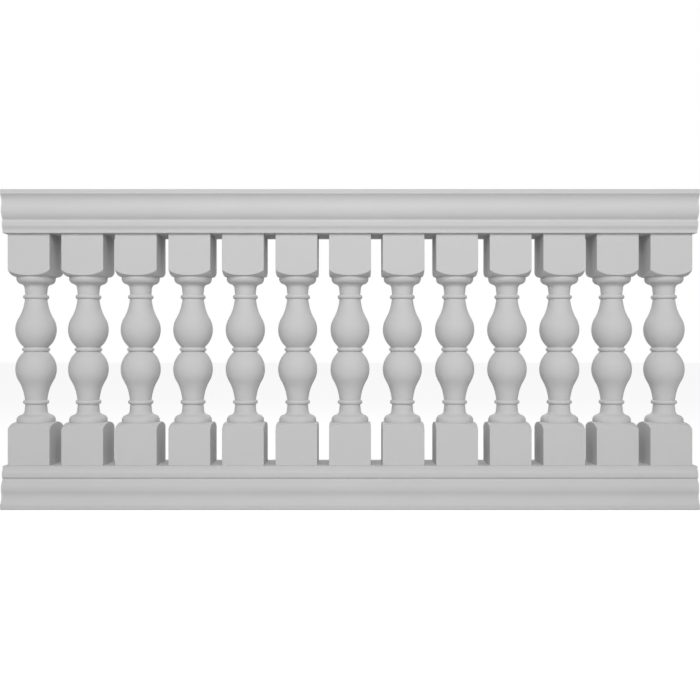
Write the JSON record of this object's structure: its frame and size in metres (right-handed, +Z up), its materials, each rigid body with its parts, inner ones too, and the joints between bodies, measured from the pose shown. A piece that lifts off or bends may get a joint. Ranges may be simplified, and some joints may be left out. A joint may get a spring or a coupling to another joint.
{
  "type": "balustrade section",
  "caption": "Straight section of classical balustrade: double-vase balusters with square end blocks between moulded bottom and top rails.",
  "frame": {"origin": "centre of the rectangle that the bottom rail's base covers, on the ground", "axes": "+X along the rails to the right as seen from the front, -Y out of the front face, +Z up"},
  "size_m": [2.1212, 0.1886, 0.9732],
  "materials": {
    "baluster_gelcoat": "pale warm-grey moulded gelcoat, matt",
    "rail_gelcoat": "pale warm-grey moulded gelcoat, matt"
  },
  "bodies": {
    "root": {"baluster_01": "baluster_gelcoat", "baluster_02": "baluster_gelcoat", "baluster_03": "baluster_gelcoat", "baluster_04": "baluster_gelcoat", "baluster_05": "baluster_gelcoat", "baluster_06": "baluster_gelcoat", "baluster_07": "baluster_gelcoat", "baluster_08": "baluster_gelcoat", "baluster_09": "baluster_gelcoat", "baluster_10": "baluster_gelcoat", "baluster_11": "baluster_gelcoat", "baluster_12": "baluster_gelcoat", "baluster_13": "baluster_gelcoat", "top_rail": "rail_gelcoat", "bottom_rail": "rail_gelcoat", "top_rail_soffit": "rail_gelcoat", "bottom_rail_deck": "rail_gelcoat", "top_rail_left_cap": "rail_gelcoat", "top_rail_right_cap": "rail_gelcoat", "bottom_rail_left_cap": "rail_gelcoat", "bottom_rail_right_cap": "rail_gelcoat"}
  },
  "joints": []
}
